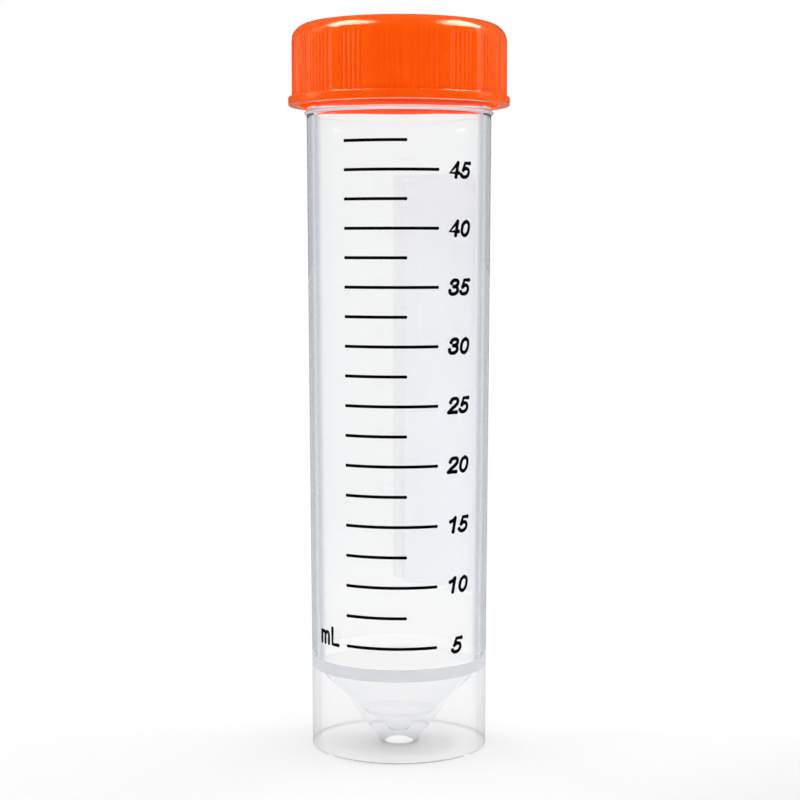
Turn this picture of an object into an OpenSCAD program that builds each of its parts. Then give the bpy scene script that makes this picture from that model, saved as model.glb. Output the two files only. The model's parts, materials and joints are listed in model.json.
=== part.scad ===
// Self-standing 50 ml conical tube with a screw cap.
// Millimetres, +Z up. The origin is the centre of the skirt's foot, on the surface that the tube stands on.
// The printed scale faces -Y. The cap has a right-hand thread, and is modelled screwed down.

/* [Body] */
// Outside diameter at the foot of the skirt
foot_d = 27.8; // [26:0.1:29]
// Outside diameter of the neck, and of the body under the bead
neck_d = 29.2; // [29:0.1:33]
// Height of the lip above the foot
lip_h = 112.5; // [70:0.5:150]
// Wall of the body, neck and skirt
wall = 1.1; // [0.8:0.05:1.6]

/* [Cone and skirt] */
// Height at which the outside of the cone meets the skirt
cone_h = 12.9; // [11:0.1:20]
// Height of the ring that joins the cone, the skirt and the body
ring_h = 1.95; // [1.2:0.05:3]
// Outside diameter of the cone's tip
tip_d = 6.4; // [5.6:0.1:8]
// Clearance under the tip
tip_gap = 0.2; // [0.1:0.1:1]
// Thickness of the floor at the tip
floor_t = 1.4; // [1:0.1:2]
// Radius of the rounded floor at the tip
well_r = 2.1; // [1.6:0.1:2.4]
// Height above the foot at which the inside of the cone gets wider
step_h = 5.8; // [5.2:0.1:7]
// Inside diameter of the cone at that height
step_d = 11.4; // [9:0.1:12]
// Width of the vent notches in the foot
vent_w = 1.2; // [0.5:0.1:3]
// Height of the vent notches
vent_h = 0.35; // [0.2:0.05:1]
// Angle of the vent notches, to each side of the front
vent_angle = 50; // [20:1:80]

/* [Neck and thread] */
// Distance from the cap's lower edge down to the middle of the bead
bead_drop = 1.2; // [0.8:0.1:4]
// Radius of the bead's rounded edge
bead_r = 0.4; // [0.2:0.05:0.6]
// Rise of the thread in one turn
thread_pitch = 4; // [3.4:0.1:4.4]
// Turns of the thread on the neck
neck_turns = 1.5; // [1:0.25:1.75]
// Turns of the thread in the cap
cap_turns = 1.25; // [0.75:0.25:1.5]
// Height of the neck's thread ridge above the neck
ridge_h = 1; // [0.6:0.05:1.2]
// Width of a ridge at its root
ridge_root_w = 1.7; // [1.2:0.1:1.9]
// Width of a ridge at its crest
ridge_crest_w = 0.8; // [0.4:0.1:1]
// Plain stretch of neck above the thread
lip_margin = 2.1; // [1.5:0.1:3]

/* [Cap] */
// Height of the cap
cap_h = 12.7; // [12.3:0.1:16]
// Wall between the cap's bore and its grip
cap_wall = 1.25; // [0.9:0.05:2]
// Thickness of the cap's roof
roof_t = 1.3; // [0.8:0.1:2.5]
// Radius of the rounded edge round the roof
roof_edge_r = 2.85; // [1:0.05:4]
// Thickness of the seal liner
liner_t = 0.8; // [0.4:0.1:1.5]
// Height of the flange at the lower edge
flange_h = 1.4; // [0.8:0.1:3]
// How far the flange stands out past the grip
flange_lip = 0.35; // [0.1:0.05:1.5]
// Number of grip panels
panel_n = 18; // [10:1:24]
// Ribs on each grip panel
panel_ribs = 6; // [3:1:8]
// Angle of the plain land between two panels
land_angle = 4; // [1:0.5:6]
// How deep the ribs lie below the lands
panel_depth = 0.15; // [0.05:0.05:0.3]
// Depth of the valleys between the ribs
rib_depth = 0.18; // [0.05:0.01:0.3]
// Turn of the closed cap, as the angle of one land from the right
cap_phase = -84.7; // [-90:0.1:90]

/* [Scale and panel] */
// Height of the lowest line above the joining ring
first_line_gap = 3.25; // [1:0.05:20]
// Volume between two lines, in millilitres
line_ml = 2.5; // [1:0.5:10]
// Height of the plain stretch between the highest line and the bead
scale_margin = 3; // [1:0.5:20]
// Width of a line
line_w = 0.45; // [0.2:0.05:0.6]
// Angle at which the lines start, from the front
line_start = -35.6; // [-60:0.1:-10]
// Angle at which the long lines end
long_end = 25.1; // [12:0.1:60]
// Angle at which the short lines end
short_end = 5.1; // [-5:0.1:11]
// Thickness of the print
print_t = 0.05; // [0.03:0.01:0.1]
// Angle of the writing panel's middle, from the front
writing_angle = 143.5; // [100:0.1:250]
// Width of the writing panel
writing_w = 15.6; // [5:0.1:22]
// Plain stretch between the joining ring and the writing panel
writing_foot = 8.5; // [2:0.05:15]
// Plain stretch between the writing panel and the bead
writing_head = 9.7; // [2:0.1:15]
// Radius of the writing panel's corners
writing_r = 1.1; // [0.5:0.1:2.4]

/* [Clearances] */
// Gap between the neck's ridge and the cap's bore
bore_gap = 0.3; // [0.15:0.05:0.6]
// Gap between the cap's ridge and the neck
crest_gap = 0.25; // [0.15:0.05:0.5]
// Gap between the flanks of the two ridges
flank_gap = 0.2; // [0.1:0.05:0.4]
// Gap above and below the seal liner
liner_gap = 0.05; // [0.02:0.01:0.2]
// Gap between the seal liner's edge and the cap's bore
liner_edge_gap = 0.2; // [0.1:0.05:0.5]

/* [Hidden] */
$fn = 96;

cut = 1;            // how far a cutting shape runs past what it cuts
sink = 0.25;        // how deep a ridge's root lies inside its wall
ridge_step = 10;    // degrees between two sections of a ridge
run_out = 30;       // degrees over which a ridge fades at each end
edge_r = 0.25;      // small radius on the lip and the flange
max_lines = 60;     // more lines than the tallest tube takes

neck_r = neck_d / 2;
bore_cap_r = neck_r + ridge_h + bore_gap;
grip_r = bore_cap_r + cap_wall;
flange_r = grip_r + flange_lip;
roof_z = lip_h + liner_t + 2 * liner_gap;
cap_top = roof_z + roof_t;
cap_z = cap_top - cap_h;
bead_z = cap_z - bead_drop;
floor_z = tip_gap + floor_t;
ring_top = cone_h + ring_h;
thread_z = lip_h - lip_margin - neck_turns * thread_pitch;
ridge_drop = (ridge_root_w + ridge_crest_w) / 2 + flank_gap;

// Outside radius of the body at height z: a straight draft from the foot to the bead, then a plain neck
function body_r(z) = (foot_d + (neck_d - foot_d) * min(1, z / bead_z)) / 2;
// Inside radius at height z
function inner_r(z) = body_r(z) - wall;
// Height of line i, from the volume that the body holds between two lines
function line_z(i) = i == 0 ? ring_top + first_line_gap :
    let (below = line_z(i - 1))
    below + 1000 * line_ml / (PI * pow(inner_r(below), 2));
// One section of a ridge: root low, crest low, crest high, root high
function ridge_section(root_r, crest_r, z, angle, fade) = [
    for (p = [[0, -1], [1, -1], [1, 1], [0, 1]])
    let (r = p[0] == 0 ? root_r : root_r + (crest_r - root_r) * fade,
         half_w = (p[0] == 0 ? ridge_root_w : ridge_crest_w) / 2 * max(0.4, fade))
    [r * cos(angle), r * sin(angle), z + p[1] * half_w]];

// A right-hand helical ridge. Its crest is outside its root on the neck, and inside it in the cap.
module ridge(root_r, crest_r, z, turns) {
    n = round(turns * 360 / ridge_step);
    fade = [for (i = [0:n]) max(0.1, min(1, i * ridge_step / run_out, (n - i) * ridge_step / run_out))];
    points = [for (i = [0:n]) each ridge_section(
        root_r, crest_r, z + i * ridge_step / 360 * thread_pitch, i * ridge_step, fade[i])];
    sides = [for (i = [0:n - 1], k = [0:3]) let (a = 4 * i + k, b = 4 * i + (k + 1) % 4)
        each [[a, b, b + 4], [a, b + 4, a + 4]]];
    ends = [[0, 2, 1], [0, 3, 2], [4 * n, 4 * n + 1, 4 * n + 2], [4 * n, 4 * n + 2, 4 * n + 3]];
    faces = concat(sides, ends);
    outward = crest_r > root_r;
    polyhedron(points, [for (f = faces) outward ? [f[0], f[1], f[2]] : [f[2], f[1], f[0]]], convexity = 8);
}

// Everything inside the outer surface of the tube
module tube_envelope() {
    rotate_extrude()
        polygon([[0, 0], [foot_d / 2, 0], [neck_r, bead_z], [neck_r, lip_h - edge_r],
            [neck_r - edge_r, lip_h], [0, lip_h]]);
    translate([0, 0, bead_z])
        rotate_extrude() translate([neck_r, 0]) circle(r = bead_r);
}

// The space that holds the sample
module cavity() {
    floor_c = floor_z + well_r;
    well_edge = well_r * cos(45);
    rotate_extrude()
        polygon([[0, floor_c - well_edge], [well_edge, floor_c - well_edge], [step_d / 2, step_h],
            [inner_r(ring_top), ring_top], [inner_r(bead_z), bead_z], [inner_r(bead_z), lip_h + cut],
            [0, lip_h + cut]]);
    translate([0, 0, floor_c]) sphere(r = well_r);
}

// The open space between the cone and the skirt
module skirt_hollow() {
    tip_r = tip_d / 2;
    rotate_extrude()
        polygon([[0, -cut], [inner_r(0), -cut], [inner_r(0), 0], [inner_r(cone_h), cone_h],
            [tip_r, tip_gap + edge_r], [tip_r - edge_r, tip_gap], [0, tip_gap]]);
}

module vents() {
    for (side = [-1, 1])
        rotate([0, 0, side * vent_angle - 90])
            translate([inner_r(0) - cut, -vent_w / 2, -cut])
                cube([wall + 2 * cut, vent_w, vent_h + cut]);
}

module tube() color([0.90, 0.93, 0.97, 0.35]) {
    difference() {
        tube_envelope();
        cavity();
        skirt_hollow();
        vents();
    }
    ridge(neck_r - sink, neck_r + ridge_h, thread_z, neck_turns);
}

// Outline of the grip: plain lands, and panels of fine ribs between them
module grip_outline() {
    panel_angle = 360 / panel_n;
    crest_r = grip_r - panel_depth;
    rib_angle = (panel_angle - land_angle) / panel_ribs;
    slope_angle = land_angle / 12;
    polygon([for (i = [0:panel_n - 1])
        let (land = i * panel_angle, first = land + land_angle / 2)
        each [
            for (a = [first - land_angle + slope_angle, first - slope_angle]) grip_r * [cos(a), sin(a)],
            for (k = [0:2 * panel_ribs])
                let (a = first + k * rib_angle / 2, r = k % 2 == 0 ? crest_r - rib_depth : crest_r)
                r * [cos(a), sin(a)]]]);
}

// A round slug with the roof's rounded edge, which the grip is cut to
module roof_slug() {
    shoulder_r = grip_r - roof_edge_r;
    rotate_extrude() {
        square_z = cap_z + flange_h / 2;
        translate([0, square_z]) square([grip_r, cap_top - roof_edge_r - square_z]);
        translate([0, square_z]) square([shoulder_r, cap_top - square_z]);
        translate([shoulder_r, cap_top - roof_edge_r]) circle(r = roof_edge_r);
    }
}

module flange() {
    rotate_extrude()
        polygon([[0, cap_z], [flange_r - edge_r, cap_z], [flange_r, cap_z + edge_r],
            [flange_r, cap_z + flange_h - edge_r], [flange_r - edge_r, cap_z + flange_h], [0, cap_z + flange_h]]);
}

module cap() color([0.99, 0.28, 0.01]) {
    difference() {
        union() {
            intersection() {
                translate([0, 0, cap_z]) rotate([0, 0, cap_phase]) linear_extrude(cap_h) grip_outline();
                roof_slug();
            }
            flange();
        }
        translate([0, 0, cap_z - cut]) cylinder(r = bore_cap_r, h = roof_z - cap_z + cut);
    }
    ridge(bore_cap_r + sink, neck_r + crest_gap, thread_z - ridge_drop, cap_turns);
}

module seal_liner() color([0.93, 0.93, 0.90])
    translate([0, 0, lip_h + liner_gap]) cylinder(r = bore_cap_r - liner_edge_gap, h = liner_t);

// A thin layer on the outside of the body, from angle a to angle b and from height z to z + h
module ink(a, b, z, h) {
    rotate([0, 0, a - 90])
        rotate_extrude(angle = b - a)
            polygon([[body_r(z), z], [body_r(z) + print_t, z], [body_r(z + h) + print_t, z + h],
                [body_r(z + h), z + h]]);
}

module scale_lines() color([0.05, 0.05, 0.06]) {
    for (i = [0:max_lines])
        if (line_z(i) < bead_z - scale_margin)
            ink(line_start, i % 2 == 0 ? long_end : short_end, line_z(i) - line_w / 2, line_w);
}

module writing_panel() color([0.93, 0.94, 0.98]) {
    z = ring_top + writing_foot;
    h = bead_z - writing_head - z;
    corner = [writing_w / 2 - writing_r, h / 2 - writing_r];
    intersection() {
        ink(writing_angle - 75, writing_angle + 75, z, h);
        rotate([0, 0, writing_angle - 90]) translate([0, 0, z + h / 2])
            rotate([90, 0, 90]) linear_extrude(neck_d) {
                square([writing_w, 2 * corner[1]], center = true);
                square([2 * corner[0], h], center = true);
                for (sx = [-1, 1], sy = [-1, 1])
                    translate([sx * corner[0], sy * corner[1]]) circle(r = writing_r);
            }
    }
}

tube();
cap();
seal_liner();
scale_lines();
writing_panel();
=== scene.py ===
# %% [markdown]
# # A 50 ml conical tube that stands on its own skirt
#
# The object is a clear moulded tube with a cone inside an open skirt, and an orange screw cap.
# The frame that everything is built on comes from the solid model: its bodies, its sizes and how they move.
# This lesson builds the finer shapes over that frame, gives each one its plastic or ink, and lights the lot.

# %% Load the frame
import json
import math

import bmesh
import bpy
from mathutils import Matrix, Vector


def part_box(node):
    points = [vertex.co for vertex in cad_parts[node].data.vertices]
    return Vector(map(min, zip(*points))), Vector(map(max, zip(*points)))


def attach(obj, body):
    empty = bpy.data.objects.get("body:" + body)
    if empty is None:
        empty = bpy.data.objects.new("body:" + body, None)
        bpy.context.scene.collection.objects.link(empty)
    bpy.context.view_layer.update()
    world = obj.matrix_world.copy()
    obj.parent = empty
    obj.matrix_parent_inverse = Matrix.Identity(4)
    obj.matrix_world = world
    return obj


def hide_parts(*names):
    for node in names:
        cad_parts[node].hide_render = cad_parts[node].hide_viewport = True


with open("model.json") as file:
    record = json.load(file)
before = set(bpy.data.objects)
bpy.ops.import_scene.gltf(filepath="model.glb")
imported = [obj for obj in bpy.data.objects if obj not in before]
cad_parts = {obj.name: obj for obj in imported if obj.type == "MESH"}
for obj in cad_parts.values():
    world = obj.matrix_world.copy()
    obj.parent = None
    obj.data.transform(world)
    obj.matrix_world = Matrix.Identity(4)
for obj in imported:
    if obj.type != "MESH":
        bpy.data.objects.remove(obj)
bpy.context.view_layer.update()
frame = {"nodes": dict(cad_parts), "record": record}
MM = 0.001

# %% [markdown]
# Sizes that the frame knows are read from it, so that each piece lands where its solid is.
# The rest are the workshop sizes of the moulding: wall, cone, ring, bead, thread and cap.

# %% Sizes, in millimetres
lip_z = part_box("tube")[1].z / MM
cap_z, cap_top = (corner.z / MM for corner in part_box("cap"))
flange_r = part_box("cap")[1].x / MM
line_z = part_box("scale_lines")[0].z / MM
rack = next(m for m in frame["record"]["mounts"] if m["name"] == "rack_body")
neck_r = rack["dims"]["r_mm"]
foot_r, wall = 13.9, 1.1
cone_z, ring_z, bead_z = 12.9, 14.85, cap_z - 1.2
thread_z, thread_pitch, thread_turns = 104.4, 4.0, 1.5
print(f"lip {lip_z:.1f}, cap {cap_z:.1f} to {cap_top:.1f}, neck radius {neck_r}, flange radius {flange_r:.2f}")


def body_r(z):
    """The radius of the outside of the body at height z: a slight draft up to the bead."""
    return foot_r + (neck_r - foot_r) * min(1, max(0, z / bead_z))


# %% [markdown]
# ## The camera
# It stands in front of the tube, a little above its middle, and looks down by four degrees.
# A shift of three hundredths of the frame lifts the tube to its place without tilting the camera more.

# %% Camera
camera_place, look_down = (0.16, -290.5, 79.96), 4.076
scene = bpy.context.scene
scene.view_settings.view_transform = "Standard"
camera_data = bpy.data.cameras.new("camera")
camera_data.lens, camera_data.sensor_width, camera_data.shift_y = 81.97, 36.0, -0.03
camera = bpy.data.objects.new("camera", camera_data)
camera.location = tuple(c * MM for c in camera_place)
camera.rotation_euler = (math.radians(90 - look_down), 0, 0)
scene.collection.objects.link(camera)
scene.camera = camera
print("camera", tuple(round(c, 4) for c in camera.location))


# %% [markdown]
# ## Small helpers
# The tube and the cap are turned on a lathe: a half outline is drawn one vertex at a time, its corners are rounded, and it
# is spun. An operator acts on what is selected, so each step first selects by place.

# %% Helpers for selecting and for drawing an outline
def start_clean():
    if bpy.context.object and bpy.context.object.mode != "OBJECT":
        bpy.ops.object.mode_set(mode="OBJECT")
    bpy.ops.object.select_all(action="DESELECT")


def select(piece, test, kind="VERT"):
    """In edit mode: selects the vertices, edges or faces whose every vertex passes the test. Returns how many."""
    bpy.ops.mesh.select_mode(type=kind)
    bpy.ops.mesh.select_all(action="DESELECT")
    mesh = bmesh.from_edit_mesh(piece.data)
    parts = {"VERT": mesh.verts, "EDGE": mesh.edges, "FACE": mesh.faces}[kind]
    found = 0
    for part in parts:
        corners = [part] if kind == "VERT" else part.verts
        if all(test(v.co / MM) for v in corners):
            part.select_set(True)
            found += 1
    bmesh.update_edit_mesh(piece.data)
    return found


def draw_outline(name, corners):
    """One vertex is extruded from corner to corner of (radius, height, rounding), and then the corners are rounded."""
    start_clean()
    bpy.ops.mesh.primitive_plane_add(size=MM)
    piece = bpy.context.object
    piece.name = piece.data.name = name
    bpy.ops.object.mode_set(mode="EDIT")
    bpy.ops.mesh.select_mode(type="VERT")
    bpy.ops.mesh.select_all(action="SELECT")
    bpy.ops.mesh.merge(type="CENTER")
    bpy.ops.transform.translate(value=(corners[0][0] * MM, 0, corners[0][1] * MM))
    for a, b in zip(corners, corners[1:]):
        step = ((b[0] - a[0]) * MM, 0, (b[1] - a[1]) * MM)
        bpy.ops.mesh.extrude_region_move(TRANSFORM_OT_translate={"value": step})
    for rounding in sorted({c[2] for c in corners if c[2]}):
        places = [(c[0], c[1]) for c in corners if c[2] == rounding]
        select(piece, lambda p: any(abs(p.x - r) + abs(p.z - z) < 1e-4 for r, z in places))
        bpy.ops.mesh.bevel(offset=rounding * MM, segments=max(4, min(12, int(rounding * 10))), affect="VERTICES")
    return piece


def spin_outline(piece, steps, angle=360.0):
    """Spins the outline round the Z axis and closes the seam and the poles. The object is left in edit mode."""
    bpy.ops.mesh.select_all(action="SELECT")
    bpy.ops.mesh.spin(steps=steps, angle=math.radians(angle), center=(0, 0, 0), axis=(0, 0, 1))
    bpy.ops.mesh.select_all(action="SELECT")
    bpy.ops.mesh.remove_doubles(threshold=1e-6)
    return piece


def finish_mesh(piece, smooth_angle=40.0):
    """Turns the faces outwards, shades the piece smooth and prints what it has become."""
    bpy.ops.mesh.select_all(action="SELECT")
    bpy.ops.mesh.normals_make_consistent(inside=False)
    bpy.ops.object.mode_set(mode="OBJECT")
    bpy.ops.object.shade_smooth_by_angle(angle=math.radians(smooth_angle))
    low = [min(v.co[i] for v in piece.data.vertices) / MM for i in range(3)]
    high = [max(v.co[i] for v in piece.data.vertices) / MM for i in range(3)]
    box = [[round(c, 2) for c in corner] for corner in (low, high)]
    print(piece.name, len(piece.data.polygons), "faces, from", box[0], "to", box[1])


def levels(start, end, step):
    """Heights from start to end, both included, about step apart."""
    n = max(1, round(abs(end - start) / step))
    return [start + (end - start) * i / n for i in range(n + 1)]


# %% [markdown]
# ## The clear tube
# On the real one, body, cone, skirt, ring, bead and thread are a single moulding, so it is a single outline here too.
# The outline starts under the tip, which has a shallow round recess. It climbs the cone, goes down inside the skirt, round
# the foot and up the outside, and then over the lip and down the bore to the rounded floor.
# Clear plastic shows each small radius as a line of light, so every corner is rounded.

# %% Outline of the tube
outside = [(body_r(z), z, 0) for z in (0.7, 2.5, 6, 10, cone_z, ring_z, 17, *levels(20, 95, 5), 99, 99.9)]
bead_middle = bead_z + 0.06
bead = [(neck_r, bead_middle - 0.3, 0.06), (neck_r + 0.27, bead_middle - 0.2, 0.06),
        (neck_r + 0.4, bead_middle - 0.06, 0.05), (neck_r + 0.4, bead_middle + 0.06, 0.05),
        (neck_r + 0.27, bead_middle + 0.2, 0.06), (neck_r, bead_middle + 0.3, 0.06)]
neck = [(neck_r, z, 0) for z in levels(bead_z + 1.0, 103.2, 0.6) + levels(103.3, 111.5, 0.12) + [lip_z - 0.6]]
lip = [(neck_r, lip_z, 0.26), (neck_r - wall, lip_z, 0.22)]
bore = [(neck_r - wall, z, 0) for z in (lip_z - 0.6, 110, 106, 103, bead_z)]
bore += [(body_r(z) - wall, z, 0) for z in (*levels(98, 20, 5), 17)]
recess = [(0, 0.85, 0), (0.9, 0.78, 0), (1.6, 0.55, 0), (2.2, 0.2, 0.1)]
under_tip = [(3.15, 0.2, 0.2), (3.3, 1.1, 0.2), (6.24, 4.6, 0.3)]
under_cone = [(7.9, 7.45, 0.3), (9.3, 8.95, 0), (11.6, 11.15, 0), (body_r(cone_z) - wall, cone_z, 0.25)]
in_skirt = [(body_r(z) - wall, z, 0) for z in (11, 6, 0.7)]
foot = [(foot_r - wall, 0, 0.22), (foot_r, 0, 0.26)]
in_cone = [(body_r(ring_z) - wall, ring_z, 0.35), (11.9, 13.35, 0), (8.8, 9.6, 0), (6.4, 6.66, 0), (5.7, 5.8, 0.25)]
in_tip = [(4.9, 5.12, 0), (3.2, 3.67, 0), (1.9, 2.55, 0.3), (1.05, 1.86, 0.3), (0, 1.6, 0)]
tube = draw_outline("tube_shell", recess + under_tip + under_cone + in_skirt + foot + outside + bead + neck + lip + bore
                    + in_cone + in_tip)
spin_outline(tube, 192)


# %% [markdown]
# The neck's thread is part of the same skin, as it is in the mould: the fine rows of the neck are drawn out along a helix.
# It rises by its pitch in a turn, and fades over thirty degrees at both ends.

# %% Thread on the neck
def thread_rise(angle, z, start_z, turns, root=1.7, crest=0.8, fade=30.0):
    """How far out the ridge stands at this angle in degrees and height, as a share of its full rise."""
    best = 0.0
    for turn in range(int(turns) + 1):
        along = angle % 360 + 360 * turn
        if along <= 360 * turns:
            ease = min(1.0, along / fade, (360 * turns - along) / fade)
            off = abs(z - start_z - along / 360 * thread_pitch)
            half_root, half_crest = root / 2 * max(0.4, ease), crest / 2 * max(0.4, ease)
            best = max(best, ease * min(1.0, max(0.0, (half_root - off) / (half_root - half_crest))))
    return best * best * (3 - 2 * best)


def raise_thread():
    """Vertex rows of the neck move outwards where the ridge runs."""
    mesh = bmesh.from_edit_mesh(tube.data)
    moved = 0
    for v in mesh.verts:
        p = v.co / MM
        radius = math.hypot(p.x, p.y)
        if 103.0 < p.z < 111.6 and abs(radius - neck_r) < 0.01:
            rise = thread_rise(math.degrees(math.atan2(p.y, p.x)), p.z, thread_z, thread_turns)
            if rise > 0:
                v.co.x, v.co.y = (c * (neck_r + rise) / radius * MM for c in (p.x, p.y))
                moved += 1
    bmesh.update_edit_mesh(tube.data)
    return moved


print("thread vertices moved:", raise_thread())
finish_mesh(tube)

# %% [markdown]
# Two small vents in the foot let air out from under the skirt. Each is cut with a rounded bar, by a Boolean modifier.

# %% Vents in the foot
vent_angle, vent_round, vent_sink = 50, 0.25, 0.15
vent_long, vent_wide, vent_tall = 2.4, 1.2, 1.0
vent_r = foot_r - wall / 2
for side in (-vent_angle, vent_angle):
    start_clean()
    turn = math.radians(side - 90)
    middle = (vent_r * math.cos(turn) * MM, vent_r * math.sin(turn) * MM, -vent_sink * MM)
    bar = (vent_long * MM, vent_wide * MM, vent_tall * MM)
    bpy.ops.mesh.primitive_cube_add(size=1, location=middle, rotation=(0, 0, turn), scale=bar)
    cutter = bpy.context.object
    bpy.ops.object.transform_apply(location=True, rotation=True, scale=True)
    bpy.ops.object.mode_set(mode="EDIT")
    select(cutter, lambda p: p.z > 0, "EDGE")
    across = Vector((math.cos(turn), math.sin(turn), 0))
    mesh = bmesh.from_edit_mesh(cutter.data)
    for edge in mesh.edges:
        edge.select_set(edge.select and abs((edge.verts[1].co - edge.verts[0].co).normalized().dot(across)) > 0.9)
    bmesh.update_edit_mesh(cutter.data)
    bpy.ops.mesh.bevel(offset=vent_round * MM, segments=4, affect="EDGES")
    bpy.ops.object.mode_set(mode="OBJECT")
    bpy.ops.object.select_all(action="DESELECT")
    bpy.context.view_layer.objects.active = tube
    tube.select_set(True)
    cut = tube.modifiers.new("vent", "BOOLEAN")
    cut.object, cut.operation, cut.solver = cutter, "DIFFERENCE", "EXACT"
    bpy.ops.object.modifier_apply(modifier="vent")
    bpy.data.objects.remove(cutter)
bpy.ops.object.shade_smooth_by_angle(angle=math.radians(40))
print("tube_shell has", len(tube.data.polygons), "faces after the vents")

# %% [markdown]
# ## The cap
# The cap is one orange moulding: a rounded roof, a flange, and eighteen grip panels of six fine flutes with a plain land
# between them. One sector, an eighteenth of a turn, is modelled and copied round.

# %% Outline of the cap
grip_r, roof_round, bore_r = flange_r - 0.45, 2.8, 15.9
roof_z, flange_top = cap_top - 1.3, cap_z + 1.4
panel_n, flutes, land = 18, 6, 4.0
land_turn = -84.7
sector = 360 / panel_n
cap_corners = [(0, roof_z, 0), (8, roof_z, 0), (bore_r - 0.6, roof_z, 0), (bore_r, roof_z, 0.3), (bore_r, roof_z - 0.7, 0)]
cap_corners += [(bore_r, z, 0) for z in (110, 106, cap_z + 0.6)] + [(bore_r, cap_z, 0.22), (bore_r + 0.5, cap_z, 0)]
cap_corners += [(flange_r - 0.45, cap_z, 0), (flange_r, cap_z, 0.22), (flange_r, cap_z + 0.5, 0)]
cap_corners += [(flange_r, flange_top - 0.5, 0), (flange_r, flange_top, 0.2), (grip_r + 0.02, flange_top, 0.09)]
cap_corners += [(grip_r, z, 0) for z in (flange_top + 0.2, flange_top + 0.5, 105.5, 108.5, 110.5, 111.2, 111.55)]
round_r, round_z = grip_r - roof_round, cap_top - roof_round
for slope in levels(0, 44, 1.6) + levels(48, 90, 5.5):
    e = math.radians(slope)
    cap_corners.append((round_r + roof_round * math.cos(e), round_z + roof_round * math.sin(e), 0))
cap_corners += [(13.6, cap_top, 0), (9, cap_top, 0), (4, cap_top, 0), (0, cap_top, 0)]
cap = draw_outline("cap_shell", cap_corners)
spin_outline(cap, 45, sector)


# %% [markdown]
# The grip is cut into the sector: flutes run up the panel and fade out under its arch, and the lands keep the full radius.
# A soft minimum between the roof's curve and the panel's gives the arch the rounded edge that a moulding has.

# %% Grip of one sector
def step_up(x, low, high):
    t = min(1.0, max(0.0, (x - low) / (high - low)))
    return t * t * (3 - 2 * t)


land_half, panel_start = 1.1, 3.1
panel_r, flute_rise, flute_sink, beyond = 16.86, 0.26, 0.17, 0.3
arch_low, arch_high = 111.9, 112.75


def grip_surface(angle, z):
    """The radius of the fluted grip at this angle from a land's middle, in degrees, and height."""
    off = abs((angle + sector / 2) % sector - sector / 2)
    into_panel = step_up(off, land_half, panel_start)
    flute_step = (sector - land) / flutes
    across = ((angle % sector) - land / 2) / flute_step
    crest = abs(math.sin(math.pi * across)) ** 0.6
    fade = 1 - step_up(z, arch_low, arch_high)
    panel = panel_r + (flute_rise * crest - flute_sink) * fade
    return grip_r + beyond + (panel - grip_r - beyond) * into_panel


def soft_min(a, b, reach=0.035):
    h = max(0.0, min(1.0, 0.5 + 0.5 * (b - a) / reach))
    return b + (a - b) * h - reach * h * (1 - h)


def cut_grip():
    mesh = bmesh.from_edit_mesh(cap.data)
    moved = 0
    for v in mesh.verts:
        p = v.co / MM
        radius = math.hypot(p.x, p.y)
        on_side = flange_top - 0.02 < p.z < cap_top - 0.05 and radius > bore_r + 0.02
        on_roof = p.z > roof_z + 0.02 and radius > 14.0
        if on_side or on_roof:
            wanted = soft_min(radius, grip_surface(math.degrees(math.atan2(p.y, p.x)), p.z))
            if p.z < flange_top + 0.15:
                wanted = radius + (wanted - radius) * step_up(flange_r - 0.18 - radius, 0.0, 0.12)
            v.co.x, v.co.y = (c * wanted / radius * MM for c in (p.x, p.y))
            moved += 1
    bmesh.update_edit_mesh(cap.data)
    return moved


print("grip vertices moved:", cut_grip())

# %% [markdown]
# The sector is copied round, and the whole is turned so that a land stands where it does on the closed cap. With no window
# open, the rotate operator turns the other way, so the angle has a minus.

# %% Copy the sector round
bpy.ops.mesh.select_all(action="SELECT")
for copy in range(panel_n - 1):
    bpy.ops.mesh.duplicate()
    bpy.ops.transform.rotate(value=math.radians(sector), orient_axis="Z", center_override=(0, 0, 0))
bpy.ops.mesh.select_all(action="SELECT")
bpy.ops.transform.rotate(value=math.radians(-land_turn), orient_axis="Z", center_override=(0, 0, 0))
bpy.ops.mesh.remove_doubles(threshold=2e-6)
finish_mesh(cap, 50)

# %% [markdown]
# The cap's own thread is a ridge inside the bore. Its section is drawn once, and a Screw modifier sweeps it up the helix.

# %% Thread in the cap
ridge_z, ridge_turns = thread_z - 1.45, 1.25
root_r, crest_r, fade_turn = bore_r + 0.2, neck_r + 0.25, 30
ridge_section = [(root_r, ridge_z - 0.85, 0), (crest_r, ridge_z - 0.4, 0.15), (crest_r, ridge_z + 0.4, 0.15),
                 (root_r, ridge_z + 0.85, 0), (root_r, ridge_z - 0.85, 0)]
cap_thread = draw_outline("cap_thread", ridge_section)
bpy.ops.mesh.select_all(action="SELECT")
bpy.ops.mesh.remove_doubles(threshold=1e-6)
bpy.ops.mesh.edge_face_add()
bpy.ops.object.mode_set(mode="OBJECT")
sweep = cap_thread.modifiers.new("sweep", "SCREW")
sweep.angle, sweep.screw_offset = math.radians(360 * ridge_turns), thread_pitch * ridge_turns * MM
sweep.steps = sweep.render_steps = 100
bpy.ops.object.modifier_apply(modifier="sweep")
for v in cap_thread.data.vertices:
    p = v.co / MM
    turn = math.degrees(math.atan2(p.y, p.x)) % 360
    along = min((turn, turn + 360), key=lambda t: abs(p.z - ridge_z - t / 360 * thread_pitch))
    ease = max(0.05, min(1.0, along / fade_turn, (360 * ridge_turns - along) / fade_turn))
    radius, middle = math.hypot(p.x, p.y), ridge_z + along / 360 * thread_pitch
    drawn_in = (root_r + (radius - root_r) * ease) / radius
    v.co = (p.x * drawn_in * MM, p.y * drawn_in * MM, (middle + (p.z - middle) * max(0.4, ease)) * MM)
bpy.ops.object.mode_set(mode="EDIT")
bpy.ops.mesh.select_all(action="SELECT")
bpy.ops.mesh.fill_holes(sides=0)
finish_mesh(cap_thread)

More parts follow.
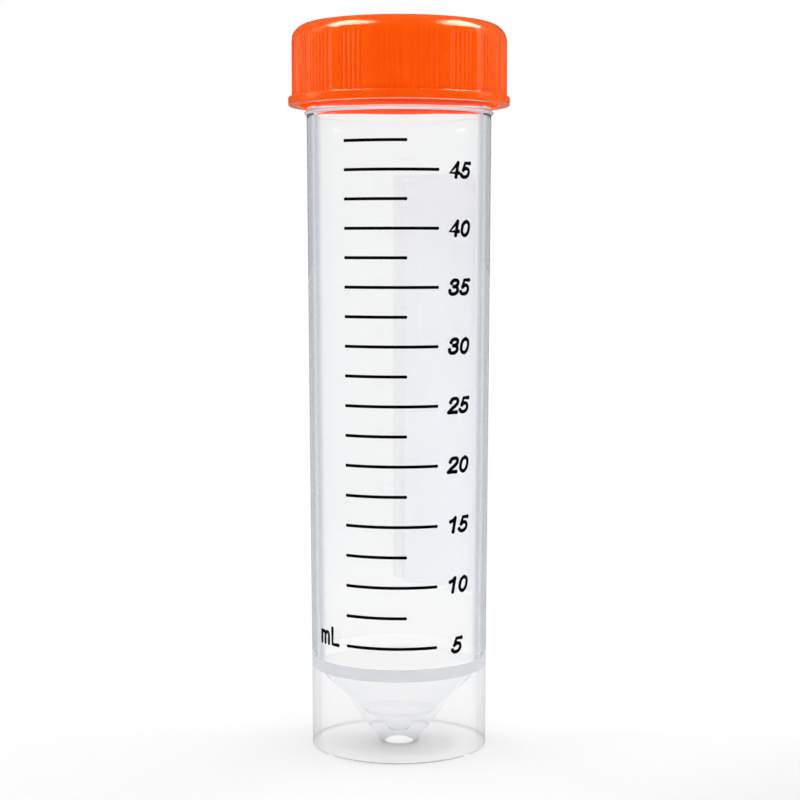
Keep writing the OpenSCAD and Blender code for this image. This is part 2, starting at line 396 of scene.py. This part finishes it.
# %% [markdown]
# ## The print
# The scale was printed with a round-ended line, so lines and figures are all drawn here with a round pen.
# A stroke is a curve with a round section; it becomes a mesh, is pressed flat, and is then rolled onto the body.

# %% A pen stroke
ink_t = 0.045


def pen_stroke(points, width, smooth):
    """One stroke on a flat sheet, x across and z up, with a round nib at each end. Returns its pieces."""
    start_clean()
    bpy.ops.curve.primitive_bezier_curve_add()
    stroke = bpy.context.object
    spline = stroke.data.splines[0]
    spline.bezier_points.add(len(points) - 2)
    for knot, (x, z) in zip(spline.bezier_points, points):
        knot.handle_left_type = knot.handle_right_type = "AUTO" if smooth else "VECTOR"
        knot.co = (x * MM, 0, z * MM)
    stroke.data.resolution_u = 8
    stroke.data.use_fill_caps = True
    stroke.data.bevel_depth, stroke.data.bevel_resolution = width / 2 * MM, 1
    bpy.ops.object.convert(target="MESH")
    parts = [bpy.context.object]
    for x, z in (points[0], points[-1]):
        nib_place = (x * MM, 0, z * MM)
        bpy.ops.mesh.primitive_uv_sphere_add(segments=12, ring_count=6, radius=width / 2 * MM, location=nib_place)
        bpy.ops.object.transform_apply(location=True)
        parts.append(bpy.context.object)
    return parts


def roll_on(parts, name, angle, height, width):
    """Joins strokes, presses them to the thickness of ink, keeps them out of the wall, and rolls them onto the body."""
    start_clean()
    for part in parts:
        part.select_set(True)
    bpy.context.view_layer.objects.active = parts[0]
    bpy.ops.object.join()
    sheet = bpy.context.object
    sheet.name = sheet.data.name = name
    bpy.ops.object.mode_set(mode="EDIT")
    bpy.ops.mesh.select_all(action="SELECT")
    bpy.ops.transform.resize(value=(1, ink_t / (width / 2), 1), center_override=(0, 0, 0))
    bpy.ops.object.mode_set(mode="OBJECT")
    for v in sheet.data.vertices:
        p = v.co / MM
        z = height + p.z
        out = body_r(z) + max(0.004, -p.y)
        turn = math.radians(angle - 90) + p.x / body_r(z)
        v.co = (out * math.cos(turn) * MM, out * math.sin(turn) * MM, z * MM)
    return sheet


def join_print(sheets, name):
    start_clean()
    for sheet in sheets:
        sheet.select_set(True)
    bpy.context.view_layer.objects.active = sheets[0]
    bpy.ops.object.join()
    piece = bpy.context.object
    piece.name = piece.data.name = name
    bpy.ops.object.shade_smooth_by_angle(angle=math.radians(60))
    print(name, len(piece.data.polygons), "faces")
    return piece


# %% [markdown]
# The lines stand one for every 2.5 ml, which is 2500 cubic millimetres. The bore widens upwards, so each gap is a little
# less than the one below it. The lowest line's middle is half a solid line's width above the foot of the solid lines.

# %% Lines
line_w, line_start, long_end, short_end = 0.55, -35.4, 25.0, 5.1
highest, gap_volume = bead_z - 3, 2500
line_heights = [line_z + 0.225]
while line_heights[-1] < highest:
    below = line_heights[-1]
    line_heights.append(below + gap_volume / (math.pi * (body_r(below) - wall) ** 2))
line_heights = [z for z in line_heights if z < highest]
sheets = []
for i, z in enumerate(line_heights):
    end = long_end if i % 2 == 0 else short_end
    a, b = (math.radians(turn) * body_r(z) for turn in (line_start, end))
    inset = line_w / 2
    steps = 24
    points = [(a + inset + (b - a - 2 * inset) * k / steps, 0) for k in range(steps + 1)]
    sheets.append(roll_on(pen_stroke(points, line_w, False), "line", 0, z, line_w))
lines = join_print(sheets, "scale_print")
print(len(line_heights), "lines, from", round(line_heights[0], 2), "to", round(line_heights[-1], 2), "mm")

# %% [markdown]
# The figures slant, and "mL" stands upright. Each sign is a few strokes in a box one high, that is then sized and slanted.

# %% Figures
signs = {
    "0": [([(0.31, 1.0), (0.12, 0.88), (0.03, 0.5), (0.12, 0.12), (0.31, 0.0), (0.5, 0.12), (0.59, 0.5), (0.5, 0.88),
            (0.31, 1.0)], True)],
    "1": [([(0.1, 0.75), (0.27, 0.84), (0.4, 1.0)], True), ([(0.4, 1.0), (0.4, 0.0)], False)],
    "2": [([(0.05, 0.74), (0.13, 0.94), (0.32, 1.0), (0.53, 0.93), (0.58, 0.73), (0.46, 0.5), (0.2, 0.24),
            (0.04, 0.0)], True),
          ([(0.04, 0.0), (0.6, 0.0)], False)],
    "3": [([(0.06, 0.78), (0.14, 0.95), (0.31, 1.0), (0.5, 0.93), (0.54, 0.76), (0.46, 0.6), (0.27, 0.54)], True),
          ([(0.27, 0.54), (0.5, 0.47), (0.59, 0.28), (0.5, 0.07), (0.29, 0.0), (0.1, 0.06), (0.03, 0.24)], True)],
    "4": [([(0.46, 1.0), (0.0, 0.28), (0.63, 0.28)], False), ([(0.46, 1.0), (0.46, 0.0)], False)],
    "5": [([(0.57, 1.0), (0.17, 1.0), (0.1, 0.5)], False),
          ([(0.1, 0.5), (0.27, 0.62), (0.46, 0.58), (0.57, 0.42), (0.57, 0.24), (0.46, 0.06), (0.26, 0.0), (0.07, 0.06),
            (0.0, 0.16)], True)],
    "m": [([(0.0, 0.7), (0.0, 0.0)], False),
          ([(0.0, 0.5), (0.1, 0.66), (0.2, 0.7), (0.31, 0.64), (0.34, 0.5), (0.34, 0.0)], True),
          ([(0.34, 0.5), (0.44, 0.66), (0.54, 0.7), (0.65, 0.64), (0.68, 0.5), (0.68, 0.0)], True)],
    "L": [([(0.0, 1.0), (0.0, 0.0), (0.46, 0.0)], False)],
}
figure_h, pen_w = 2.78, 0.67


def write_out(text, angle, height, slant, spread=0.78, tall=figure_h, pen_w=pen_w, wide=1.0):
    """Text that starts at this angle, with its foot at this height."""
    rise = tall - pen_w
    parts, x = [], 0.0
    for sign in text:
        for points, smooth in signs[sign]:
            placed = [(x + pen_w / 2 + wide * px * rise + slant * (pz * rise + pen_w / 2), pen_w / 2 + pz * rise)
                      for px, pz in points]
            parts += pen_stroke(placed, pen_w, smooth)
        x += spread * tall
    return roll_on(parts, "figure", angle, height, pen_w)


sheets = []
for i, z in enumerate(line_heights):
    if i % 2 == 0:
        text = str(5 + 5 * (i // 2))
        start = 30.3 if len(text) == 2 else 34.4
        sheets.append(write_out(text, start, z - figure_h / 2, 0.2, 0.8, wide=1.25))
sheets.append(write_out("mL", -60.6, 17.6, 0.0, 0.9, tall=3.15, pen_w=0.62, wide=1.12))
figures = join_print(sheets, "scale_figures")

# %% [markdown]
# The writing panel's shadow on the wall is painted: a thin grey sheet shows as a painted shadow strip along the panel's
# side and top.
# It is one sheet: a corner, drawn out along the top and down the side, rolled onto the body and thickened by Solidify.

# %% Painted shadow strip beside the writing panel
panel_low, panel_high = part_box("writing_panel")
shadow_strip_w, shadow_strip_h, shadow_strip_turn = 2.0, 0.75, 176.2
piece_w, pieces_across, shadow_strip_round = 0.65, 24, 0.7
shadow_strip_lift, shadow_strip_thick = 0.01, 0.03
# This sheet is a painted shadow: a grey strip along the writing panel's side and top.
start_clean()
bpy.ops.mesh.primitive_plane_add(size=MM, rotation=(math.radians(90), 0, 0))
coat_and_shadow_sheet = bpy.context.object
coat_and_shadow_sheet.name = coat_and_shadow_sheet.data.name = "panel_painted_shadow"
bpy.ops.object.transform_apply(rotation=True)
bpy.ops.object.mode_set(mode="EDIT")
bpy.ops.mesh.select_all(action="SELECT")
bpy.ops.transform.resize(value=(shadow_strip_w, 1, shadow_strip_h), center_override=(0, 0, 0))
for step in range(pieces_across):
    select(coat_and_shadow_sheet, lambda p: p.x < -shadow_strip_w / 2 - piece_w * step + 0.01, "EDGE")
    bpy.ops.mesh.extrude_region_move(TRANSFORM_OT_translate={"value": (-piece_w * MM, 0, 0)})
select(coat_and_shadow_sheet, lambda p: p.z < 0 and p.x > -shadow_strip_w / 2 - 0.01, "EDGE")
drop = (panel_high.z - panel_low.z) / MM - 0.9
bpy.ops.mesh.extrude_region_move(TRANSFORM_OT_translate={"value": (0, 0, -drop * MM)})
select(coat_and_shadow_sheet, lambda p: p.x > shadow_strip_w / 2 - 0.01 and (p.z > 0 or p.z < -drop))
bpy.ops.mesh.bevel(offset=shadow_strip_round * MM, segments=5, affect="VERTICES")
bpy.ops.object.mode_set(mode="OBJECT")
for v in coat_and_shadow_sheet.data.vertices:
    p = v.co / MM
    z = panel_high.z / MM + shadow_strip_h / 2 + p.z
    turn = math.radians(shadow_strip_turn - 90) + (p.x + shadow_strip_w / 2) / body_r(z)
    out = body_r(z) + shadow_strip_lift
    v.co = (out * math.cos(turn) * MM, out * math.sin(turn) * MM, z * MM)
thicken = coat_and_shadow_sheet.modifiers.new("thicken", "SOLIDIFY")
thicken.thickness, thicken.offset = shadow_strip_thick * MM, 0
bpy.ops.object.modifier_apply(modifier="thicken")
bpy.ops.object.mode_set(mode="EDIT")
finish_mesh(coat_and_shadow_sheet, 60)

# %% [markdown]
# ## Finishes
# A clear plastic in several mixes, an orange one, a soft foam, two inks and a grey film that paints the writing panel's
# shadow. What they share is the skin that a steel mould leaves: a gloss that varies a little from place to place, and a
# very faint waviness.
# It is one node group, placed in each material with its own values.

# %% Moulded skin
def new_group(name, inputs, outputs):
    group = bpy.data.node_groups.new(name, "ShaderNodeTree")
    for label, kind, value in inputs:
        item = group.interface.new_socket(label, in_out="INPUT", socket_type=kind)
        if value is not None:
            item.default_value = value
    for label, kind in outputs:
        group.interface.new_socket(label, in_out="OUTPUT", socket_type=kind)
    return group, group.nodes.new("NodeGroupInput"), group.nodes.new("NodeGroupOutput")


def add(tree, kind, links=None, **settings):
    """Adds a node: settings are its properties, links are {socket: value or another node's output}."""
    node = tree.nodes.new(kind)
    for key, value in settings.items():
        setattr(node, key, value)
    for socket, value in (links or {}).items():
        if isinstance(value, bpy.types.NodeSocket):
            tree.links.new(value, node.inputs[socket])
        else:
            node.inputs[socket].default_value = value
    return node


skin, skin_in, skin_out = new_group(
    "moulded skin",
    [("Place", "NodeSocketVector", None), ("Gloss", "NodeSocketFloat", 0.2), ("Gloss spread", "NodeSocketFloat", 0.05),
     ("Patch size", "NodeSocketFloat", 150.0), ("Grain size", "NodeSocketFloat", 2500.0),
     ("Grain share", "NodeSocketFloat", 0.3)],
    [("Roughness", "NodeSocketFloat"), ("Height", "NodeSocketFloat"), ("Patches", "NodeSocketFloat")])
patches = add(skin, "ShaderNodeTexNoise",
              {"Vector": skin_in.outputs["Place"], "Scale": skin_in.outputs["Patch size"], "Detail": 3.0})
grain = add(skin, "ShaderNodeTexNoise",
            {"Vector": skin_in.outputs["Place"], "Scale": skin_in.outputs["Grain size"], "Detail": 2.0})
both = add(skin, "ShaderNodeMix", {0: skin_in.outputs["Grain share"], 2: patches.outputs[0], 3: grain.outputs[0]})
centred = add(skin, "ShaderNodeMath", {0: both.outputs[0], 1: 0.5}, operation="SUBTRACT")
gloss_at = {0: centred.outputs[0], 1: skin_in.outputs["Gloss spread"], 2: skin_in.outputs["Gloss"]}
spread = add(skin, "ShaderNodeMath", gloss_at, operation="MULTIPLY_ADD")
skin.links.new(spread.outputs[0], skin_out.inputs["Roughness"])
skin.links.new(both.outputs[0], skin_out.inputs["Height"])
skin.links.new(patches.outputs[0], skin_out.inputs["Patches"])
print("node group:", skin.name, [item.name for item in skin.interface.items_tree])


# %% Starting a material
def plastic(name, **settings):
    """A material with a Principled shader, Object coordinates and the moulded skin in it."""
    material = bpy.data.materials.new(name)
    material.use_nodes = True
    tree = material.node_tree
    shader = tree.nodes["Principled BSDF"]
    for key, value in settings.items():
        shader.inputs[key.replace("_", " ")].default_value = value
    place = add(tree, "ShaderNodeTexCoord")
    return material, tree, shader, place.outputs["Object"]


def give_skin(tree, shader, place, strength, distance, **values):
    node = add(tree, "ShaderNodeGroup", {"Place": place}, node_tree=skin)
    for key, value in values.items():
        node.inputs[key.replace("_", " ").capitalize()].default_value = value
    bump = add(tree, "ShaderNodeBump",
               {"Height": node.outputs["Height"], "Strength": strength, "Distance": distance * MM})
    tree.links.new(node.outputs["Roughness"], shader.inputs["Roughness"])
    tree.links.new(bump.outputs[0], shader.inputs["Normal"])
    return node


def shade_by_patches(tree, shader, skin_node, low, high):
    """The base colour runs between two shades with the skin's patches."""
    shade = add(tree, "ShaderNodeValToRGB", {"Fac": skin_node.outputs["Patches"]})
    for element, at, colour in zip(shade.color_ramp.elements, (0.3, 0.7), (low, high)):
        element.position, element.color = at, (*colour, 1)
    tree.links.new(shade.outputs[0], shader.inputs["Base Color"])


def wear(piece, material):
    piece.data.materials.clear()
    piece.data.materials.append(material)


# %% [markdown]
# Clear plastic is glass to a renderer, but lamps must reach the floor and the inside of the cap through it. So a ray that
# carries light, which Light Path names, passes straight through, and only a ray that looks meets the glass.
# Where one looks along the wall it is grey-blue, partly the plastic's own faint tint and partly painted shade in light
# and dark bands: Layer Weight tells how far the surface turns away, and a ramp tints it.
# The cone and the thick ring are a little milky, so they get their own mix of the same plastic, and so do the other parts.
# Three values of a mix are there for the look alone. A low bend, which is the IOR, keeps thin walls that lie one behind
# the other from drawing hard dark lines. A behind colour lets a ray that leaves through the far side pass unbent, in that
# colour. A light tint says how much of a lamp's light comes through, and so how dark a shadow the part throws.

# %% Clear plastic
def clear_plastic(name, passes, gloss, gloss_spread, edge_tints, light_tint, behind=None, bend=1.5, coat_and_shadow_sheet=0.0):
    """Clear plastic that passes this share of what is behind it. The rest is milky."""
    material, tree, shader, place = plastic(name, Transmission_Weight=passes, IOR=bend,
                                            Specular_Tint=(0.5, 0.5, 0.5, 1), Coat_Weight=coat_and_shadow_sheet, Coat_Roughness=0.05)
    give_skin(tree, shader, place, 0.04, 0.02, gloss=gloss, gloss_spread=gloss_spread, patch_size=120.0)
    turned = add(tree, "ShaderNodeLayerWeight", {"Blend": 0.5})
    ramp = add(tree, "ShaderNodeValToRGB", {"Fac": turned.outputs["Facing"]})
    while len(ramp.color_ramp.elements) < len(edge_tints):
        ramp.color_ramp.elements.new(0.5)
    for element, (at, colour) in zip(ramp.color_ramp.elements, edge_tints):
        element.position, element.color = at, (*colour, 1)
    tree.links.new(ramp.outputs[0], shader.inputs["Base Color"])
    rays = add(tree, "ShaderNodeLightPath")
    by_light = add(tree, "ShaderNodeMath", {0: rays.outputs["Is Shadow Ray"], 1: rays.outputs["Is Diffuse Ray"]},
                   operation="MAXIMUM")
    open_to_light = add(tree, "ShaderNodeBsdfTransparent", {"Color": (*light_tint, 1)})
    glass = shader
    if behind:
        side = add(tree, "ShaderNodeNewGeometry")
        unbent = add(tree, "ShaderNodeBsdfTransparent", {"Color": (*behind, 1)})
        glass = add(tree, "ShaderNodeMixShader",
                    {0: side.outputs["Backfacing"], 1: shader.outputs[0], 2: unbent.outputs[0]})
    whole = add(tree, "ShaderNodeMixShader",
                {0: by_light.outputs[0], 1: glass.outputs[0], 2: open_to_light.outputs[0]})
    tree.links.new(whole.outputs[0], tree.nodes["Material Output"].inputs["Surface"])
    return material


# Painted shade at the edges: the wall ramp darkens towards the edge in light and dark bands, and the skirt ramp darkens
# smoothly.
wall_tints_and_edge_shade = [(0.40, (0.955, 0.959, 0.962)), (0.455, (0.93, 0.937, 0.95)), (0.49, (0.77, 0.79, 0.83)),
              (0.52, (0.55, 0.585, 0.64)), (0.565, (0.43, 0.465, 0.525)), (0.60, (0.54, 0.575, 0.63)),
              (0.64, (0.66, 0.69, 0.74)), (0.67, (0.39, 0.435, 0.515)), (0.77, (0.39, 0.435, 0.515)),
              (0.81, (0.78, 0.80, 0.83)), (1.0, (0.90, 0.91, 0.93))]
inner_tints = [(0.3, (0.955, 0.959, 0.962)), (0.9, (0.90, 0.91, 0.925))]
skirt_edge_shade_tints = [(0.42, (0.955, 0.957, 0.96)), (0.54, (0.92, 0.925, 0.935)), (0.59, (0.87, 0.88, 0.895)),
               (0.65, (0.81, 0.825, 0.845)), (0.72, (0.765, 0.78, 0.805)), (1.0, (0.74, 0.76, 0.79))]
plain_tints = [(0.3, (0.97, 0.971, 0.974)), (1.0, (0.95, 0.953, 0.957))]
cone_tints = [(0.4, (0.975, 0.978, 0.981)), (0.75, (0.935, 0.945, 0.955)), (1.0, (0.82, 0.85, 0.89))]
tip_tints = [(0.3, (0.93, 0.937, 0.952)), (0.7, (0.91, 0.918, 0.936)), (1.0, (0.87, 0.887, 0.915))]
ring_tints = [(0.2, (0.56, 0.575, 0.605)), (1.0, (0.53, 0.55, 0.59))]
# Painted shade: the rim ramp is darkest where the foot's lowest faces look at the eye, a painted contact shadow along
# the floor.
rim_contact_shade_tints = [(0.3, (0.36, 0.37, 0.39)), (0.85, (0.93, 0.935, 0.945))]
mark_tints = [(0.2, (0.97, 0.972, 0.976)), (1.0, (0.95, 0.955, 0.96))]
bead_tints = [(0.2, (0.78, 0.93, 0.95)), (1.0, (0.74, 0.88, 0.90))]
through = (0.99, 0.99, 0.99)
mixes = [
    clear_plastic("clear_plastic", 0.995, 0.02, 0.03, wall_tints_and_edge_shade, (0.985, 0.986, 0.987)),
    clear_plastic("skirt_plastic", 0.99, 0.02, 0.03, skirt_edge_shade_tints, (0.975, 0.977, 0.979), bend=1.01, coat_and_shadow_sheet=0.15),
    clear_plastic("cone_plastic", 0.95, 0.1, 0.06, cone_tints, (0.80, 0.803, 0.806), bend=1.03),
    clear_plastic("ring_plastic", 0.55, 0.45, 0.1, ring_tints, (0.8, 0.8, 0.8), behind=through),
    clear_plastic("bead_plastic", 0.3, 0.25, 0.06, bead_tints, (0.97, 0.97, 0.97), behind=through),
    clear_plastic("tip_plastic", 0.95, 0.1, 0.06, tip_tints, (0.5, 0.503, 0.506), bend=1.01),
    clear_plastic("mark_plastic", 0.3, 0.4, 0.1, mark_tints, (0.8, 0.8, 0.8), bend=1.03),
    clear_plastic("rim_plastic_contact_shade", 0.75, 0.3, 0.1, rim_contact_shade_tints, (0.7, 0.7, 0.7), behind=(0.86, 0.86, 0.87), bend=1.01),
    clear_plastic("inner_plastic", 0.995, 0.02, 0.03, inner_tints, (0.985, 0.986, 0.987)),
    clear_plastic("inner_skirt_plastic", 0.99, 0.02, 0.03, plain_tints, (0.975, 0.977, 0.979), bend=1.0)]
WALL, SKIRT, CONE, RING, BEAD, TIP, MARK, RIM_SHADE, BORE, PLAIN = range(len(mixes))
tube.data.materials.clear()
for material in mixes:
    tube.data.materials.append(material)


def glow(material, colour, strength):
    """Painted glow: a little light of its own, in place of light that comes through the plastic from behind."""
    shader = material.node_tree.nodes["Principled BSDF"]
    shader.inputs["Emission Color"].default_value = (*colour, 1)
    shader.inputs["Emission Strength"].default_value = strength


# Painted glow: the mark under the tip shines a little by itself, so that its underside looks lit.
glow(mixes[MARK], (1, 1, 1), 0.2)


# %% [markdown]
# A face gets its mix from where it lies: its middle, how far out that is, and whether the face looks up or down.

# %% Where each mix goes
def mix_at(p, radius, up):
    in_bore = radius < body_r(p.z) - wall
    # The lowest faces of the foot take the rim mix, a painted contact shadow where the foot meets the floor.
    if p.z < 0.24 and radius > foot_r - wall - 0.3:
        return RIM_SHADE if radius > foot_r - 0.27 else PLAIN
    if foot_r - wall - 0.3 < radius < body_r(p.z) - wall / 2 and p.z < cone_z - 0.3:
        return PLAIN
    if radius > foot_r - wall - 0.3 and p.z < cone_z:
        return SKIRT
    if p.z < 0.9 and radius < 2.2 and up < -0.2:
        return MARK
    if up > 0.1 and (1.9 < radius < 5.2 and p.z < 5.5 or 6.2 < p.z < ring_z and in_bore):
        return PLAIN
    if p.z < 5.8 and radius > 1.9 or 5.2 < radius < 6 and p.z < 6.2:
        return TIP
    if p.z < ring_z - 0.02 and radius < body_r(cone_z) - 0.4 or p.z < ring_z + 0.6 and radius < body_r(ring_z) - 0.5:
        return CONE
    if cone_z < p.z < ring_z and radius > body_r(cone_z) - 0.4:
        return RING
    if abs(p.z - bead_middle) < 0.32 and radius > neck_r + 0.02:
        return BEAD
    return BORE if radius < body_r(p.z) - wall / 2 else WALL


counts = [0] * len(mixes)
for face in tube.data.polygons:
    p = face.center / MM
    face.material_index = mix_at(p, math.hypot(p.x, p.y), face.normal.z)
    counts[face.material_index] += 1
print("faces of wall, skirt, cone, ring, bead, tip, mark, rim, bore and plain inner faces:", counts)

# %% [markdown]
# The orange plastic lets light a little way in. The faces inside the bore also get a painted glow: an orange light of
# their own, in place of light that comes through the cap's wall.

# %% Orange plastic
orange, tree, shader, place = plastic("orange_plastic", IOR=1.49, Specular_IOR_Level=0.4,
                                      Specular_Tint=(1.0, 0.8, 0.45, 1), Subsurface_Weight=0.7,
                                      Subsurface_Radius=(1.0, 0.35, 0.12), Subsurface_Scale=0.002)
cap_skin = give_skin(tree, shader, place, 0.12, 0.02, gloss=0.17, gloss_spread=0.07, patch_size=300.0)
shade_by_patches(tree, shader, cap_skin, (0.97, 0.095, 0.0002), (0.99, 0.107, 0.0003))
wear(cap, orange)
wear(cap_thread, orange)
# Painted glow: the faces inside the bore shine orange by themselves.
bore_painted_glow = orange.copy()
bore_painted_glow.name = "orange_plastic_bore_painted_glow"
glow(bore_painted_glow, (1.0, 0.05, 0.0), 0.8)
cap.data.materials.append(bore_painted_glow)
for face in cap.data.polygons:
    p = face.center / MM
    face.material_index = int(math.hypot(p.x, p.y) < bore_r + 0.1 and p.z < roof_z + 0.1)
print("bore faces:", sum(face.material_index for face in cap.data.polygons))

# %% Liner foam
foam, tree, shader, place = plastic("liner_foam", IOR=1.45)
foam_skin = give_skin(tree, shader, place, 0.4, 0.05, gloss=0.6, gloss_spread=0.2, patch_size=900.0,
                      grain_size=4000.0)
shade_by_patches(tree, shader, foam_skin, (0.82, 0.82, 0.8), (0.92, 0.92, 0.9))
frame["nodes"]["seal_liner"].material_slots[0].material = foam


# %% [markdown]
# Ink is a film: black for the scale and white for the writing panel; a thin grey film beside the panel is its painted
# shadow.
# It is a little uneven, as screen printing is.

# %% Inks
def ink(name, thin, full, gloss, **settings):
    material, tree, shader, place = plastic(name, **settings)
    skin_node = give_skin(tree, shader, place, 0.3, 0.01, gloss=gloss, gloss_spread=0.15, patch_size=1200.0,
                          grain_size=5000.0)
    shade_by_patches(tree, shader, skin_node, thin, full)
    return material


black = ink("black_ink", (0.0016, 0.0016, 0.0018), (0.0006, 0.0006, 0.0006), 0.55, Specular_IOR_Level=0.02)
white = ink("white_ink", (0.945, 0.955, 0.985), (0.955, 0.965, 0.99), 0.4, IOR=1.2, Transmission_Weight=0.90,
            Specular_Tint=(0.5, 0.5, 0.5, 1))
# Painted shadow: the grey film beside the writing panel, a little darker than the clear wall.
shadow_strip_tints = [(0.2, (0.86, 0.865, 0.875)), (1.0, (0.82, 0.83, 0.84))]
wear(coat_and_shadow_sheet, clear_plastic("panel_shadow_film", 0.95, 0.3, 0.15, shadow_strip_tints, (0.97, 0.97, 0.97), behind=through, bend=1.15))
wear(lines, black)
wear(figures, black)
frame["nodes"]["writing_panel"].material_slots[0].material = white

# %% [markdown]
# ## What each piece belongs to
# Each piece rides on its body and is listed with a slot of the record; where it stands for a plain solid, that solid is
# hidden.

# %% Bodies, slots and solids
for piece, body, slot, node in ((tube, "tube", "clear_plastic", "tube"), (cap, "cap", "orange_plastic", "cap"),
                                (cap_thread, "cap", "orange_plastic", None), (lines, "tube", "black_ink", "scale_lines"),
                                (figures, "tube", "black_ink", None), (coat_and_shadow_sheet, "tube", "white_ink", None)):
    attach(piece, body)
    if node:
        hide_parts(node)

# %% [markdown]
# ## Light and floor
# The world is white to the eye and to what is seen through the plastic. To the object it is a dimmer, even light,
# and to reflections dimmer still, because bright reflections would wash the orange out and hide the tube's edges.

# %% World
world = bpy.data.worlds.new("studio")
scene.world = world
world.use_nodes = True
tree = world.node_tree
backdrop = tree.nodes["Background"]
backdrop.inputs["Color"].default_value = (1, 1, 1, 1)
rays = add(tree, "ShaderNodeLightPath")
look = add(tree, "ShaderNodeTexCoord")
way = add(tree, "ShaderNodeSeparateXYZ", {0: look.outputs["Generated"]})
lighting = add(tree, "ShaderNodeMapRange", {"Value": way.outputs["Z"], "From Min": 0.0, "From Max": 1.0,
                                            "To Min": 1.6, "To Max": 0.6})
room = add(tree, "ShaderNodeMapRange", {"Value": way.outputs["Y"], "From Min": -0.7, "From Max": 0.4,
                                        "To Min": 0.02, "To Max": 0.11}, interpolation_type="SMOOTHSTEP")
ceiling = add(tree, "ShaderNodeMapRange", {"Value": way.outputs["Z"], "From Min": 0.2, "From Max": 0.8,
                                           "To Min": 0.0, "To Max": 0.15})
reflected = add(tree, "ShaderNodeMath", {0: room.outputs[0], 1: ceiling.outputs[0]}, operation="MAXIMUM")
dim = add(tree, "ShaderNodeMix", {0: rays.outputs["Is Glossy Ray"], 2: lighting.outputs[0], 3: reflected.outputs[0]})
seen = add(tree, "ShaderNodeMath", {0: rays.outputs["Is Camera Ray"], 1: rays.outputs["Is Transmission Ray"]},
           operation="MAXIMUM")
level = add(tree, "ShaderNodeMix", {0: seen.outputs[0], 2: dim.outputs[0], 3: 1.0})
tree.links.new(level.outputs[0], backdrop.inputs["Strength"])


# %% [markdown]
# Two overheads light what is matt and are left out of reflections. Four cards do the opposite: they only show in
# reflections, two as the highlights on the cap's rounded edge and two as the light along its sides.

# %% Lamps
def softbox(name, direction, distance, width, height, brightness, diffuse=True, glossy=True):
    """An area lamp that faces the middle of the tube. Its power comes from how bright its face is to be."""
    data = bpy.data.lights.new(name, "AREA")
    data.shape, data.size, data.size_y = "RECTANGLE", width, height
    data.energy = brightness * math.pi * width * height
    lamp = bpy.data.objects.new(name, data)
    middle = Vector((0, 0, 0.06))
    lamp.location = middle + Vector(direction).normalized() * distance
    lamp.rotation_euler = (middle - lamp.location).to_track_quat("-Z", "Y").to_euler()
    lamp.visible_diffuse, lamp.visible_glossy = diffuse, glossy
    scene.collection.objects.link(lamp)
    print(name, round(data.energy, 2), "W")


for side, direction, brightness in (("left", (-0.45, 0.3, 0.85), 14.0), ("right", (0.60, 0.3, 0.76), 10.5)):
    softbox(side + "_overhead", direction, 0.6, 0.34, 0.07, brightness, glossy=False)
softbox("left_card", (-0.55, -0.14, 0.82), 0.6, 0.36, 0.30, 22.0, diffuse=False)
softbox("right_card", (0.64, 0.03, 0.77), 0.6, 0.36, 0.30, 20.0, diffuse=False)
softbox("left_side", (-1.0, 0.15, 0.39), 0.6, 0.22, 0.28, 2.2, diffuse=False)
softbox("right_side", (1.0, 0.12, 0.39), 0.6, 0.22, 0.28, 1.6, diffuse=False)

# %% [markdown]
# The floor is matt white paper that fades into the white backdrop far from the tube. Rays that are only mirrored, and not
# passed through anything, meet a darker paper, so that the tube's edges look the same from top to bottom.

# %% Floor
start_clean()
bpy.ops.mesh.primitive_plane_add(size=8)
floor = bpy.context.object
floor.name = "floor"
paper = bpy.data.materials.new("white_paper")
paper.use_nodes = True
tree = paper.node_tree
tree.nodes.remove(tree.nodes["Principled BSDF"])
place = add(tree, "ShaderNodeTexCoord")
distance = add(tree, "ShaderNodeVectorMath", {0: place.outputs["Object"]}, operation="LENGTH")
far = add(tree, "ShaderNodeMapRange", {"Value": distance.outputs["Value"], "From Min": 0.08, "From Max": 0.30},
          interpolation_type="SMOOTHSTEP")
rays = add(tree, "ShaderNodeLightPath")
seen = add(tree, "ShaderNodeMath", {0: rays.outputs["Is Camera Ray"], 1: rays.outputs["Is Transmission Ray"]},
           operation="MAXIMUM")
lift_share = add(tree, "ShaderNodeMath", {0: seen.outputs[0], 1: 0.05}, operation="MULTIPLY")
matt = add(tree, "ShaderNodeBsdfDiffuse", {"Color": (0.755, 0.755, 0.755, 1)})
lift = add(tree, "ShaderNodeEmission", {"Color": (1, 1, 1, 1), "Strength": lift_share.outputs[0]})
near_paper = add(tree, "ShaderNodeAddShader", {0: matt.outputs[0], 1: lift.outputs[0]})
far_seen = add(tree, "ShaderNodeMath", {0: far.outputs[0], 1: seen.outputs[0]}, operation="MULTIPLY")
white_light = add(tree, "ShaderNodeEmission", {"Color": (1, 1, 1, 1), "Strength": 1.0})
whole = add(tree, "ShaderNodeMixShader",
            {0: far_seen.outputs[0], 1: near_paper.outputs[0], 2: white_light.outputs[0]})
mirrored = add(tree, "ShaderNodeMath", {0: rays.outputs["Is Glossy Ray"], 1: rays.outputs["Is Transmission Ray"]},
               operation="SUBTRACT", use_clamp=True)
mirror_share = add(tree, "ShaderNodeMath", {0: mirrored.outputs[0], 1: 0.65}, operation="MULTIPLY")
dark = add(tree, "ShaderNodeBsdfDiffuse", {"Color": (0.05, 0.05, 0.05, 1)})
paper_shader = add(tree, "ShaderNodeMixShader",
                   {0: mirror_share.outputs[0], 1: whole.outputs[0], 2: dark.outputs[0]})
tree.links.new(paper_shader.outputs[0], tree.nodes["Material Output"].inputs["Surface"])
floor.data.materials.append(paper)
